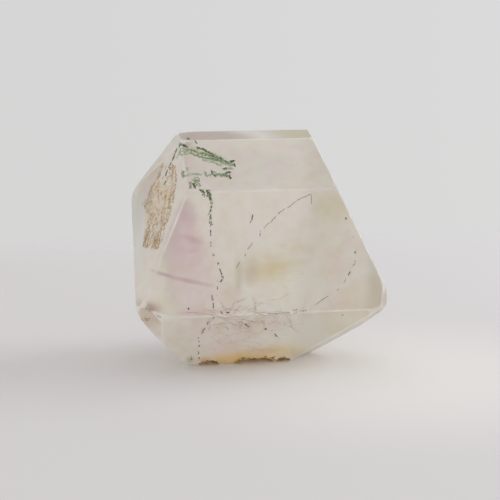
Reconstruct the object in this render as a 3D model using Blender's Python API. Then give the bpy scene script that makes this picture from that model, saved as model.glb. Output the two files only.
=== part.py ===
"""A polished fluorite freeform: one clear crystal ground into a lopsided, gem-like block.

The stone is one solid. A rough block is ground flat on twenty sides, as a lapidary does it, then every
sharp edge is eased with a narrow bevel. Four ragged hollows are left in the front edge of the base,
where brown crust sat, and a few small chips are broken from the edges.

Units are metres with +Z up. The stone rests on its base. The origin lies on the base, under the middle
of the stone's bounding box, and the broad front face looks along -Y.
"""

import math
from dataclasses import dataclass

import bmesh
import bpy
from mathutils import Matrix, Vector, noise

MM = 0.001
STONE_NAME = "fluorite_stone"

# The rough block, and the point inside it that every facet is measured from.
ROUGH_SIDE = 120 * MM
HEART = Vector((0, 0, 28 * MM))

# The eased edges: the width of each bevel, and how far each corner is taken back.
EDGE_WIDTH = 0.5 * MM
CORNER_EASE = 0.16 * MM

# Points nearer than this are one point.
SAME_POINT = 0.002 * MM

# How rough a chip or hollow is, as a share of its size, and how many lumps cross it.
RAGGEDNESS = 0.34
LUMPS_ACROSS = 1.7
SPHERE_STEPS = 3

COLOUR = (0.74, 0.70, 0.64, 1)
ROUGHNESS = 0.06
REFRACTION = 1.434
CLEARNESS = 0.9


@dataclass(frozen=True)
class Facet:
    """One flat polished face. It looks outwards along a direction and lies at a distance from the heart.

    turn is the direction's angle about +Z in degrees, 0 at the front and 90 at the right side.
    tilt is its angle above level in degrees, 90 on top and -90 underneath.
    """

    name: str
    turn: float
    tilt: float
    distance_mm: float

    def direction(self):
        """The unit vector that the face looks along."""
        turn = math.radians(self.turn)
        tilt = math.radians(self.tilt)
        level = math.cos(tilt)
        return Vector((math.sin(turn) * level, -math.cos(turn) * level, math.sin(tilt)))


@dataclass(frozen=True)
class Bite:
    """A piece broken out of the stone: a ragged lump, by its middle and its half sizes."""

    name: str
    middle_mm: tuple
    half_size_mm: tuple
    seed: int
    turn: float = 0


FACETS = (
    Facet("table", 0, 90, 26.4),
    Facet("base", 0, -90, 28.0),
    Facet("front", 0, 2.5, 15.5),
    Facet("upper_front", 0, 45, 21.4),
    Facet("lower_front", 0, -32, 21.1),
    Facet("left", -68, 22, 25.9),
    Facet("upper_left", -95, 41, 29.7),
    Facet("left_corner", -27, -30, 28.7),
    Facet("lower_left", -107, -38, 27.7),
    Facet("right", 80, 26, 25.8),
    Facet("right_end", 100, -4, 29.9),
    Facet("right_corner", 53, -4, 34.2),
    Facet("lower_right", 46, -56, 29.7),
    Facet("back", 176, 3, 20.0),
    Facet("upper_back", 179, 45, 30.0),
    Facet("lower_back", 172, -42, 23.0),
    Facet("back_left", -109, -12, 25.4),
    Facet("upper_back_left", -139, 13, 25.5),
    Facet("back_right", 128, -4, 24.0),
    Facet("lower_back_right", 140, -40, 26.0),
)

HOLLOWS = (
    Bite("hollow_left", (-12.5, -9.7, -0.2), (2.5, 2.9, 1.7), 3),
    Bite("hollow_middle_left", (-3.0, -9.2, -0.3), (3.0, 3.4, 2.2), 8, turn=12),
    Bite("hollow_middle_right", (1.3, -9.6, -0.3), (3.0, 2.6, 1.9), 21, turn=-10),
    Bite("hollow_right", (6.1, -9.8, -0.2), (1.5, 1.8, 1.7), 5),
)

CHIPS = (
    Bite("chip_table_back", (-15.2, 12.9, 54.7), (2.2, 1.6, 0.8), 11, turn=40),
    Bite("chip_table_left", (-17.9, -1.5, 54.5), (0.5, 1.1, 0.5), 16),
    Bite("chip_ridge", (17.0, -17.9, 43.7), (0.9, 0.5, 0.5), 13),
    Bite("chip_right_corner", (30.7, -16.6, 15.0), (0.5, 0.7, 1.1), 17),
    Bite("chip_left_corner", (-27.6, -18.7, 16.1), (1.0, 0.6, 0.6), 19, turn=25),
    Bite("chip_back_edge", (6.0, 19.4, 17.2), (1.9, 0.8, 0.9), 23),
    Bite("chip_base_back", (-4.0, 3.9, -0.1), (1.6, 0.9, 0.7), 29),
)


def clear_scene():
    """Removes whatever the scene holds, so that the stone starts from nothing."""
    for old in list(bpy.data.objects):
        bpy.data.objects.remove(old, do_unlink=True)


def new_collection(name):
    """Makes an empty collection in the scene."""
    collection = bpy.data.collections.new(name)
    bpy.context.scene.collection.children.link(collection)
    return collection


def fluorite_material():
    """Clear, faintly warm crystal with a polished surface."""
    material = bpy.data.materials.new("polished_fluorite")
    material.use_nodes = True
    material.diffuse_color = COLOUR
    shader = material.node_tree.nodes["Principled BSDF"]
    shader.inputs["Base Color"].default_value = COLOUR
    shader.inputs["Roughness"].default_value = ROUGHNESS
    shader.inputs["Metallic"].default_value = 0
    shader.inputs["IOR"].default_value = REFRACTION
    shader.inputs["Transmission Weight"].default_value = CLEARNESS
    return material


def rough_block():
    """A cube around the heart, larger than the stone on every side."""
    stone = bmesh.new()
    bmesh.ops.create_cube(stone, size=ROUGH_SIDE, matrix=Matrix.Translation(HEART))
    return stone


def grind(stone, direction, distance):
    """Grinds the stone down to the plane at this distance from the heart, and closes it with one face."""
    cut = bmesh.ops.bisect_plane(
        stone,
        geom=stone.verts[:] + stone.edges[:] + stone.faces[:],
        dist=SAME_POINT,
        plane_co=HEART + direction * distance,
        plane_no=direction,
        clear_outer=True,
    )
    rim = [piece for piece in cut["geom_cut"] if isinstance(piece, bmesh.types.BMEdge)]
    if rim:
        bmesh.ops.holes_fill(stone, edges=rim)
    stone.normal_update()


def bevel_planes(stone, width):
    """The plane that eases each sharp edge, worked out before any of them is ground.

    Two faces whose directions are an angle apart meet in an edge. A bevel of the given width across it
    lies half a width times the tangent of half that angle below the edge.
    """
    planes = []
    for edge in stone.edges:
        first, second = (face.normal for face in edge.link_faces)
        direction = (first + second).normalized()
        depth = width / 2 * math.tan(first.angle(second) / 2)
        reach = (edge.verts[0].co - HEART).dot(direction)
        planes.append((direction, reach - depth))
    return planes


def corner_planes(stone, depth):
    """The plane that takes the point off each corner of the stone."""
    planes = []
    for corner in stone.verts:
        outwards = sum((face.normal for face in corner.link_faces), Vector())
        direction = outwards.normalized()
        planes.append((direction, (corner.co - HEART).dot(direction) - depth))
    return planes


def ease_edges(stone):
    """Bevels every edge, then takes the points off the corners that the bevels leave."""
    for direction, distance in bevel_planes(stone, EDGE_WIDTH):
        grind(stone, direction, distance)
    for direction, distance in corner_planes(stone, CORNER_EASE):
        grind(stone, direction, distance)


def stand_on_origin(stone):
    """Moves the stone so that the origin is under the middle of its bounding box, at the base."""
    lowest = Vector(min(vertex.co[axis] for vertex in stone.verts) for axis in range(3))
    highest = Vector(max(vertex.co[axis] for vertex in stone.verts) for axis in range(3))
    middle = (lowest + highest) / 2
    shift = Vector((-middle.x, -middle.y, -lowest.z))
    bmesh.ops.translate(stone, verts=stone.verts[:], vec=shift)


def make_stone(collection):
    """Grinds the facets, eases the edges and stands the stone on its base."""
    stone = rough_block()
    for facet in FACETS:
        grind(stone, facet.direction(), facet.distance_mm * MM)
    ease_edges(stone)
    bmesh.ops.remove_doubles(stone, verts=stone.verts[:], dist=SAME_POINT)
    stand_on_origin(stone)
    bmesh.ops.recalc_face_normals(stone, faces=stone.faces[:])

    mesh = bpy.data.meshes.new(STONE_NAME)
    stone.to_mesh(mesh)
    stone.free()
    mesh.materials.append(fluorite_material())
    stone_object = bpy.data.objects.new(STONE_NAME, mesh)
    collection.objects.link(stone_object)
    return stone_object


def make_cutter(bite, collection):
    """A ragged lump the size of the bite, made by pushing a sphere's points in and out with noise."""
    lump = bmesh.new()
    bmesh.ops.create_icosphere(lump, subdivisions=SPHERE_STEPS, radius=1)
    drift = Vector((bite.seed * 3.7, bite.seed * 1.3, bite.seed * 2.1))
    for vertex in lump.verts:
        push = noise.noise(vertex.co * LUMPS_ACROSS + drift)
        vertex.co *= 1 + RAGGEDNESS * push
    half_size = Vector(bite.half_size_mm) * MM
    bmesh.ops.scale(lump, vec=half_size, verts=lump.verts[:])

    mesh = bpy.data.meshes.new(bite.name)
    lump.to_mesh(mesh)
    lump.free()
    cutter = bpy.data.objects.new(bite.name, mesh)
    cutter.location = Vector(bite.middle_mm) * MM
    cutter.rotation_euler.z = math.radians(bite.turn)
    cutter.hide_render = True
    cutter.display_type = "WIRE"
    collection.objects.link(cutter)
    return cutter


def break_out(stone_object, bite, collection):
    """Takes one ragged bite out of the stone."""
    cut = stone_object.modifiers.new(bite.name, "BOOLEAN")
    cut.operation = "DIFFERENCE"
    cut.solver = "EXACT"
    cut.object = make_cutter(bite, collection)


def main():
    """Makes the stone and takes its hollows and chips out of it."""
    clear_scene()
    stone_object = make_stone(new_collection("fluorite_freeform"))
    cutters = new_collection("cutters")
    cutters.hide_render = True
    for bite in HOLLOWS + CHIPS:
        break_out(stone_object, bite, cutters)


if __name__ == "__main__":
    main()
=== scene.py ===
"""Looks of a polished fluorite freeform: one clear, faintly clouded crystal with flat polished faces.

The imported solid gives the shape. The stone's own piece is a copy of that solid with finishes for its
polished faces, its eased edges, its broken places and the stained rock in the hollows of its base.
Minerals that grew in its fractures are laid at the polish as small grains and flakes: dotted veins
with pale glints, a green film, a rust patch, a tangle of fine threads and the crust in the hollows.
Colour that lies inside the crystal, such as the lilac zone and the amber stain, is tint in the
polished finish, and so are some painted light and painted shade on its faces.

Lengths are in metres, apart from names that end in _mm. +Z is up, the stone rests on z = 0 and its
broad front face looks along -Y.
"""

import logging
import math
import random
from collections.abc import Iterable
from dataclasses import dataclass
from enum import Enum

import bmesh
import bpy
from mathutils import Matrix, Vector
from mathutils.bvhtree import BVHTree


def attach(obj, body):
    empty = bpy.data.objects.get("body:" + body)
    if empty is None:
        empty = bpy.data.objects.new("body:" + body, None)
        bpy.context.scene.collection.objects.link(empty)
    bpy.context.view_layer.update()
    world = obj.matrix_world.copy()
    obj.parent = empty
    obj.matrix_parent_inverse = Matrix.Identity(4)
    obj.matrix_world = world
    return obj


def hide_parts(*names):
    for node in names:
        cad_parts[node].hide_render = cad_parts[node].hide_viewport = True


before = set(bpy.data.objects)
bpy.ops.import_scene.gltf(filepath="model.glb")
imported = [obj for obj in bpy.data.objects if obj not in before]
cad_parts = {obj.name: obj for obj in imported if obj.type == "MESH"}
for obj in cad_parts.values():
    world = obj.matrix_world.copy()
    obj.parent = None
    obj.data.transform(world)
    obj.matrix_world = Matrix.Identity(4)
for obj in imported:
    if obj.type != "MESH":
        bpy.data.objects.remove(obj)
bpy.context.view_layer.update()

MM = 0.001
FLUORITE_IOR = 1.434
STONE_NODE = "fluorite_stone"
BODY = "root"

log = logging.getLogger("fluorite")

Colour = tuple[float, float, float, float]
Place = tuple[float, float]
Span = tuple[float, float]
Triple = tuple[float, float, float]


def shade(red: float, green: float, blue: float) -> Colour:
    """Turns a colour as a screen shows it, 0 to 255 each, into the linear colour that shaders take.

    Args:
        red: the red part.
        green: the green part.
        blue: the blue part.

    Returns:
        The linear colour, with full alpha.
    """

    def linear(part: float) -> float:
        """One part of the colour, made linear by the usual screen curve."""
        share = part / 255
        return share / 12.92 if share <= 0.04045 else ((share + 0.055) / 1.055) ** 2.4

    return (linear(red), linear(green), linear(blue), 1.0)


class NodeBoard:
    """Adds nodes to one tree and wires each of them in a line.

    A node's inputs are given by name or index. A socket is linked to its input, and a value is set on
    it.
    """

    # A Mix node has sockets for each kind of data, and these are the ones for colours.
    MIX_FIRST = 6
    MIX_SECOND = 7
    MIX_RESULT = 2
    NUMBER_RESULTS = ("LENGTH", "DOT_PRODUCT")

    def __init__(self, tree: bpy.types.NodeTree) -> None:
        """Takes the shader or Geometry Nodes tree that the nodes go into."""
        self.tree = tree

    def add(self, kind: str, inputs: dict | None = None, **settings: object) -> bpy.types.Node:
        """Adds a node.

        Args:
            kind: the node's type name.
            inputs: what goes into its inputs.
            settings: the node's own settings.

        Returns:
            The node.
        """
        node = self.tree.nodes.new(kind)
        for name, value in settings.items():
            setattr(node, name, value)
        self.plug(node, inputs or {})
        return node

    def plug(self, node: bpy.types.Node, inputs: dict) -> None:
        """Fills some of a node's inputs.

        Args:
            node: the node.
            inputs: what goes into its inputs.
        """
        for socket, value in inputs.items():
            if isinstance(value, bpy.types.NodeSocket):
                self.tree.links.new(value, node.inputs[socket])
            else:
                node.inputs[socket].default_value = value

    def place(self) -> bpy.types.NodeSocket:
        """Adds the coordinates on the object itself."""
        return self.add("ShaderNodeTexCoord").outputs["Object"]

    def math(self, operation: str, first: object, second: object = 0.0) -> bpy.types.NodeSocket:
        """Adds a Math node.

        Args:
            operation: its operation.
            first: its first value, a number or a socket.
            second: its second value.

        Returns:
            Its result.
        """
        return self.add("ShaderNodeMath", {0: first, 1: second}, operation=operation).outputs[0]

    def vector(self, operation: str, first: object, second: object = None) -> bpy.types.NodeSocket:
        """Adds a Vector Math node.

        Args:
            operation: its operation.
            first: its first vector, or a socket.
            second: its second vector, or the number that it is scaled by, where it has one.

        Returns:
            Its result: a number for a length or a dot product, and otherwise a vector.
        """
        inputs = {0: first}
        if second is not None:
            inputs["Scale" if operation == "SCALE" else 1] = second
        node = self.add("ShaderNodeVectorMath", inputs, operation=operation)
        return node.outputs["Value" if operation in self.NUMBER_RESULTS else "Vector"]

    def blend(
        self, share: object, first: object, second: object, how: str = "MIX"
    ) -> bpy.types.NodeSocket:
        """Mixes two colours.

        Args:
            share: how much of the second is used, 0 to 1.
            first: the colour at 0.
            second: the colour at 1, or the one that is combined with the first.
            how: the node's blend type.

        Returns:
            The mixed colour.
        """
        inputs = {0: share, self.MIX_FIRST: first, self.MIX_SECOND: second}
        node = self.add("ShaderNodeMix", inputs, data_type="RGBA", blend_type=how)
        return node.outputs[self.MIX_RESULT]

    def multiply(self, share: object, first: object, second: object) -> bpy.types.NodeSocket:
        """Multiplies one colour by a share, 0 to 1, of another."""
        return self.blend(share, first, second, "MULTIPLY")

    def noise(
        self, place: object, scale: float, detail: float = 3.0, name: str = "Fac"
    ) -> bpy.types.NodeSocket:
        """Adds a Noise Texture.

        Args:
            place: the coordinates that it reads.
            scale: how many lumps it has in a metre.
            detail: how many finer layers it has.
            name: which output is taken, Fac or Color.

        Returns:
            That output.
        """
        inputs = {"Vector": place, "Scale": scale, "Detail": detail}
        return self.add("ShaderNodeTexNoise", inputs).outputs[name]

    def fade(
        self, value: object, band: Span, start: float = 0.0, end: float = 1.0
    ) -> bpy.types.NodeSocket:
        """Turns a value into a soft step.

        Args:
            value: what is stepped.
            band: the values at which the step starts and ends.
            start: what comes out where it starts.
            end: what comes out where it ends.

        Returns:
            The step.
        """
        low, high = band
        inputs = {"Value": value, "From Min": low, "From Max": high, "To Min": start, "To Max": end}
        node = self.add("ShaderNodeMapRange", inputs, interpolation_type="SMOOTHSTEP")
        return node.outputs["Result"]

    def bump(self, height: object, strength: float, distance: float) -> bpy.types.NodeSocket:
        """Adds a Bump node.

        Args:
            height: what it reads as height.
            strength: how strong it is, 0 to 1.
            distance: how far a height of 1 stands out.

        Returns:
            The bent normal.
        """
        inputs = {"Height": height, "Strength": strength, "Distance": distance}
        return self.add("ShaderNodeBump", inputs).outputs[0]


def new_material(name: str) -> tuple[bpy.types.Material, NodeBoard, bpy.types.Node, bpy.types.Node]:
    """Makes a material with a Principled shader on its output.

    Args:
        name: the material's name.

    Returns:
        The material, its node board, the shader and the output node.
    """
    material = bpy.data.materials.new(name)
    material.use_nodes = True
    material.node_tree.nodes.clear()
    board = NodeBoard(material.node_tree)
    shader = board.add("ShaderNodeBsdfPrincipled")
    output = board.add("ShaderNodeOutputMaterial", {"Surface": shader.outputs[0]})
    return material, board, shader, output


def link(name: str, mesh: bpy.types.Mesh) -> bpy.types.Object:
    """Makes an object of a mesh and puts it in the scene.

    Args:
        name: the object's name.
        mesh: its mesh.

    Returns:
        The object.
    """
    made = bpy.data.objects.new(name, mesh)
    bpy.context.scene.collection.objects.link(made)
    return made


@dataclass(frozen=True)
class Cloud:
    """A soft zone of colour in the polished finish, for colour inside the crystal and for painted light
    and shade: an ellipsoid that fades out towards its rim.

    strength is the most that shows of its colour, and core is the share of its reach that shows as
    much. lean turns it about the Y axis in degrees, and a positive one takes its right end down. A
    streaky cloud is broken up into level streaks. waver is how far its rim is pushed in and out, as a
    share of its reach. A cloud that covers is laid over what is under it, and any other tints it.
    """

    name: str
    middle_mm: Triple
    reach_mm: Triple
    colour: Colour
    strength: float
    lean: float = 0.0
    core: float = 0.0
    streaky: bool = False
    waver: float = 0.6
    covers: bool = False

    def tint(
        self,
        board: NodeBoard,
        place: object,
        drift: object,
        streaks: object,
        colour: object,
    ) -> bpy.types.NodeSocket:
        """Lays the cloud over a colour.

        Args:
            board: the material's board.
            place: the coordinates on the stone.
            drift: a noise vector from -0.5 to 0.5, which pushes the cloud's rim in and out.
            streaks: a share from 0 to 1 that breaks a streaky cloud up.
            colour: the colour so far.

        Returns:
            The colour with the cloud in it.
        """
        push = self.waver * min(self.reach_mm[0], self.reach_mm[2]) * MM
        moved = board.vector("ADD", place, board.vector("MULTIPLY", drift, (push, push, push)))
        ellipsoid = {
            "Vector": moved,
            "Location": tuple(value * MM for value in self.middle_mm),
            "Rotation": (0.0, math.radians(self.lean), 0.0),
            "Scale": tuple(value * MM for value in self.reach_mm),
        }
        local = board.add("ShaderNodeMapping", ellipsoid, vector_type="TEXTURE").outputs[0]
        share = board.fade(board.vector("LENGTH", local), (1.0, self.core), 0.0, self.strength)
        if self.streaky:
            share = board.math("MULTIPLY", share, streaks)
        if self.covers:
            return board.blend(share, colour, self.colour)
        return board.multiply(share, colour, self.colour)


CLOUDS = (
    # These lighten the mottle, so they come before the ones that tint.
    # Painted light: lifts the left rim, which is seen at a grazing angle, and gives it a pale aqua tint.
    Cloud(
        "aqua_rim_painted_light", (-30, -1, 34), (4.6, 18, 15), shade(248, 255, 252), 1.0,
        core=0.5, covers=True, waver=0.2,
    ),
    # Painted light: lifts the lower front facet, which faces down and gets less light.
    Cloud(
        "painted_light_low", (15, -15, 8), (14, 7, 7.6), shade(255, 255, 247), 1.0,
        core=0.6, covers=True, waver=0.2,
    ),
    Cloud(
        "milk_front", (8, -18, 22), (5, 6, 5), shade(255, 255, 248), 1.0,
        core=0.3, covers=True, waver=0.3,
    ),
    Cloud(
        "milk_right", (26, -18, 21), (6, 6, 7), shade(255, 255, 253), 0.8,
        core=0.3, covers=True, waver=0.3,
    ),
    # The front and the left.
    Cloud(
        "tan_right", (25, -16, 14.8), (14, 12, 8.6), shade(250, 243, 231), 0.9,
        lean=-24, core=0.76,
    ),
    Cloud("olive_right", (27, -14, 29), (6.2, 12, 16), shade(253, 252, 246), 0.7, core=0.7),
    Cloud("olive_ridge", (17, -17, 39), (7, 8, 5), shade(240, 236, 208), 0.7, core=0.3),
    Cloud(
        "lilac_left", (-20.5, -20, 33), (7.6, 5, 13.6), shade(247, 235, 242), 1.0,
        lean=-12, core=0.55,
    ),
    Cloud(
        "lilac_tip", (-18.6, -19, 38.2), (3.4, 6, 5.4), shade(243, 230, 238), 0.9,
        lean=-14, core=0.3, waver=0.3,
    ),
    Cloud("lilac_front", (-17.5, -17, 23.5), (8, 9, 14), shade(248, 237, 244), 1.0, core=0.5),
    Cloud(
        "lilac_patch_high", (-17.5, -17, 32.2), (5, 6, 1.7), shade(222, 194, 208), 0.8,
        lean=20, streaky=True,
    ),
    Cloud(
        "lilac_patch_low", (-16.3, -17, 30.2), (3.2, 6, 1.3), shade(220, 188, 204), 0.8,
        lean=-12, streaky=True,
    ),
    Cloud("lilac_girdle", (-16, -14, 14), (9, 9, 8), shade(248, 232, 240), 0.9),
    Cloud("lilac_base", (-9, -11, 5.5), (9, 9, 6), shade(252, 234, 242), 0.8),
    Cloud(
        "purple_streak", (-18.6, -18, 22.7), (9.4, 7, 0.85), shade(224, 200, 218), 1.0,
        lean=14, waver=0.3,
    ),
    Cloud(
        "purple_streak_start", (-24.6, -18, 24.5), (3.8, 6, 0.7), shade(218, 188, 204), 1.0,
        lean=16, waver=0.3,
    ),
    Cloud(
        "smoke_corner", (-28, -16, 14.8), (5.4, 9, 5.0), shade(223, 209, 198), 1.0,
        core=0.3, waver=0.2,
    ),
    Cloud("rose_corner", (-25, -17, 13.6), (2.4, 6, 1.6), shade(240, 218, 212), 0.9, waver=0.3),
    Cloud("green_foot", (-17.2, -11.2, 1.6), (1.8, 4, 2.0), shade(200, 202, 178), 0.9),
    Cloud(
        "purple_corner", (-27.8, -18, 16.9), (3.6, 6, 1.7), shade(204, 180, 184), 1.0,
        lean=10, waver=0.3,
    ),
    Cloud(
        "brown_girdle", (-14, -18, 15.2), (15, 6, 2.4), shade(244, 230, 224), 0.9,
        lean=-3, streaky=True,
    ),
    Cloud(
        "brown_tangle", (-3.5, -17, 11.8), (10, 7, 4.4), shade(249, 236, 226), 0.9,
        lean=6, streaky=True,
    ),
    Cloud("rose", (-8.6, -16, 18.4), (4.2, 7, 6), shade(244, 226, 222), 1.0, core=0.2),
    Cloud("rose_front", (17, -17, 25), (7, 5, 9), shade(252, 240, 235), 0.7),
    Cloud(
        "yellow_cloud", (3.4, -17, 26.4), (12, 7, 6.2), shade(240, 233, 196), 0.9,
        lean=-6, streaky=True,
    ),
    Cloud(
        "yellow_core", (0.8, -17, 24.3), (7.4, 7, 3.8), shade(243, 233, 194), 0.9,
        lean=-18, waver=0.3,
    ),
    Cloud(
        "yellow_top", (5, -17, 30.0), (10, 7, 2.6), shade(240, 226, 190), 0.6,
        lean=-6, streaky=True,
    ),
    Cloud("cream_middle", (2, -17, 21), (12, 7, 7.5), shade(253, 252, 240), 0.9, waver=0.3),
    Cloud("dusk_line", (-6.6, -17, 23.3), (1.7, 6, 7.0), shade(218, 217, 198), 0.9, waver=0.3),
    Cloud("dusk_bank", (-3.6, -17, 24.4), (4.2, 6, 5.4), shade(222, 214, 194), 0.9),
    # Under the rust, along the top and along the foot.
    Cloud(
        "rust_stain", (-24.4, -9, 39.5), (4.6, 8, 11.2), shade(246, 231, 202), 1.0,
        core=0.5, streaky=True, waver=0.3,
    ),
    Cloud(
        "smoke_left_top", (-23, 0, 47), (4, 6, 4.5), shade(240, 233, 220), 0.9,
        core=0.3, waver=0.3,
    ),
    # Painted shade: a plain grey that darkens the upper front face, which the light leaves darker.
    Cloud("painted_shade_upper", (-5, -14, 48.4), (17, 9, 7), shade(245, 246, 247), 1.0, core=0.6, waver=0.2),
    Cloud(
        "green_stain", (-12.6, -10, 51.3), (6.4, 5, 1.5), shade(206, 218, 186), 0.9,
        lean=16, core=0.4, streaky=True,
    ),
    Cloud("green_apex", (-17.9, -8.4, 52.2), (1.6, 3, 1.7), shade(206, 216, 186), 0.9, core=0.3),
    Cloud("amber_haze", (0, -11, 2.4), (19, 10, 5.6), shade(252, 242, 216), 0.9, lean=-4),
    Cloud("amber_base", (-5, -11, 0.6), (13, 9, 4.0), shade(245, 212, 122), 0.9, core=0.2),
    Cloud("amber_right", (7, -12, 2.6), (9, 8, 3.6), shade(254, 246, 214), 0.8, lean=-6),
    Cloud("orange_left", (-13.6, -11, 1.6), (2.6, 8, 1.4), shade(244, 196, 134), 0.8),
    Cloud(
        "ochre_threads", (2, -12, 3.6), (10, 8, 2.0), shade(232, 206, 152), 0.7,
        lean=8, streaky=True,
    ),
    # The back and the right side.
    Cloud(
        "lilac_back", (-15, 14, 33), (9, 9, 14), shade(244, 230, 241), 0.8,
        lean=10, core=0.3, waver=0.3,
    ),
    Cloud("olive_back", (19, 9, 27), (9, 11, 17), shade(246, 243, 226), 0.8),
    Cloud("smoke_back", (2, 20, 25), (17, 6, 3.4), shade(234, 226, 210), 0.9, lean=12, streaky=True),
    Cloud("milky_back", (-5, 20, 36), (12, 6, 5), shade(246, 238, 226), 0.8, lean=-18, streaky=True),
    Cloud("amber_back", (-2, 7, 0.6), (15, 9, 3.6), shade(246, 222, 168), 0.8),
    Cloud("green_back", (-13, 8, 51), (5, 6, 3), shade(232, 240, 222), 0.8, streaky=True),
    # The table on top: painted shade, darkened to the pinkish band at the left and the olive band at the
    # right that it shows when seen at a grazing angle.
    Cloud(
        "painted_shade_table_left", (-10, 0, 56.4), (26, 60, 2.3), shade(190, 163, 148), 1.0,
        core=0.88, waver=0.0,
    ),
    Cloud(
        "painted_shade_table_right", (15, 0, 56.4), (26, 60, 2.3), shade(209, 200, 150), 1.0,
        core=0.88, waver=0.0,
    ),
)


@dataclass(frozen=True)
class PolishedFluorite:
    """The polished faces: clear crystal with soft clouds of colour in it, a few of which are painted
    light and painted shade.
    """

    DRIFT_MIDDLE = (0.5, 0.5, 0.5)

    name: str = "polished_fluorite"
    colour: Colour = shade(255, 253, 248)
    deeper: Colour = shade(248, 240, 230)
    greener: Colour = shade(253, 254, 247)
    pinker: Colour = shade(255, 250, 251)
    transmission: float = 0.72
    roughness: float = 0.4
    coat: float = 0.3
    coat_roughness: float = 0.03
    absorption_colour: Colour = (0.94, 0.88, 0.80, 1.0)
    absorption_per_metre: float = 5.0
    drift_lumps_per_metre: float = 170.0
    mottle_lumps_per_metre: float = 420.0
    mottle_detail: float = 6.0
    mottle_band: Span = (0.32, 0.8)
    hue_lumps_per_metre: Triple = (340.0, 340.0, 90.0)
    hue_detail: float = 4.0
    hue_band: Span = (0.36, 0.64)
    streak_lumps_per_metre: Triple = (110.0, 110.0, 560.0)
    streak_detail: float = 5.0
    streak_band: Span = (0.36, 0.64)
    streak_least: float = 0.2
    wave_lumps_per_metre: float = 90.0
    wave_detail: float = 2.0
    wave_strength: float = 0.05
    wave_height: float = MM
    clouds: tuple[Cloud, ...] = CLOUDS

    def material(self) -> bpy.types.Material:
        """Builds the material.

        Returns:
            The material.
        """
        material, board, shader, output = new_material(self.name)
        place = board.place()
        waves = board.noise(place, self.wave_lumps_per_metre, self.wave_detail)
        crystal = {
            "Base Color": self._colour(board, place),
            "Transmission Weight": self.transmission,
            "IOR": FLUORITE_IOR,
            "Roughness": self.roughness,
            "Coat Weight": self.coat,
            "Coat Roughness": self.coat_roughness,
            "Coat IOR": FLUORITE_IOR,
            "Normal": board.bump(waves, self.wave_strength, self.wave_height),
        }
        board.plug(shader, crystal)
        depth = {"Color": self.absorption_colour, "Density": self.absorption_per_metre}
        absorption = board.add("ShaderNodeVolumeAbsorption", depth)
        board.plug(output, {"Volume": absorption.outputs[0]})
        return material

    def _colour(self, board: NodeBoard, place: object) -> bpy.types.NodeSocket:
        """Mixes the crystal's mottle and clouds.

        Args:
            board: the material's board.
            place: the coordinates on the stone.

        Returns:
            The colour.
        """
        loose = board.noise(place, self.drift_lumps_per_metre, name="Color")
        drift = board.vector("SUBTRACT", loose, self.DRIFT_MIDDLE)
        drawn_out = board.vector("MULTIPLY", place, self.streak_lumps_per_metre)
        level = board.noise(drawn_out, 1.0, self.streak_detail)
        streaks = board.fade(level, self.streak_band, self.streak_least, 1.0)
        lumps = board.noise(place, self.mottle_lumps_per_metre, self.mottle_detail)
        mottle = board.fade(lumps, self.mottle_band)
        upright = board.vector("MULTIPLY", place, self.hue_lumps_per_metre)
        hue = board.fade(board.noise(upright, 1.0, self.hue_detail), self.hue_band)
        tint = board.blend(hue, self.greener, self.pinker)
        colour = board.multiply(1.0, board.blend(mottle, self.colour, self.deeper), tint)
        for cloud in self.clouds:
            colour = cloud.tint(board, place, drift, streaks, colour)
        return colour


@dataclass(frozen=True)
class Grain:
    """A grainy, matt mineral in two shades, for crumbs, flakes, frosted edges and broken places.

    lumps_per_metre says how fine the two shades are mixed.
    """

    name: str
    dark: Colour
    pale: Colour
    lumps_per_metre: float = 900.0
    roughness: float = 0.7
    transmission: float = 0.0
    mottle_band: Span = (0.35, 0.65)
    bump_strength: float = 0.4
    bump_mm: float = 0.05

    def material(self) -> bpy.types.Material:
        """Builds the material.

        Returns:
            The material.
        """
        material, board, shader, _ = new_material(self.name)
        place = board.place()
        mottle = board.fade(board.noise(place, self.lumps_per_metre), self.mottle_band)
        rough = board.noise(place, 2 * self.lumps_per_metre)
        mineral = {
            "Base Color": board.blend(mottle, self.dark, self.pale),
            "Normal": board.bump(rough, self.bump_strength, self.bump_mm * MM),
            "Roughness": self.roughness,
            "Transmission Weight": self.transmission,
            "IOR": FLUORITE_IOR,
        }
        board.plug(shader, mineral)
        return material


class Look(Enum):
    """The side that a point is carried onto the stone from."""

    FRONT = "front"
    LEFT = "left"
    TOP = "top"
    BACK = "back"

    def ray(self, place: Place) -> tuple[Vector, Vector]:
        """The ray through a point seen from this side.

        Args:
            place: the point in mm: its X and Z, or Y and Z from the left, or X and Y from the top.

        Returns:
            The ray's start, well outside the stone, and its direction.
        """
        far = 200 * MM
        across, up = place[0] * MM, place[1] * MM
        rays = {
            Look.FRONT: (Vector((across, -far, up)), Vector((0, 1, 0))),
            Look.BACK: (Vector((across, far, up)), Vector((0, -1, 0))),
            Look.LEFT: (Vector((-far, across, up)), Vector((1, 0, 0))),
            Look.TOP: (Vector((across, up, far)), Vector((0, 0, -1))),
        }
        return rays[self]


class Surface(Enum):
    """What a face of the stone is, with the place of its finish among the stone's materials."""

    POLISHED = 0
    EASED = 1
    BROKEN = 2
    CRUSTED = 3


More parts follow.
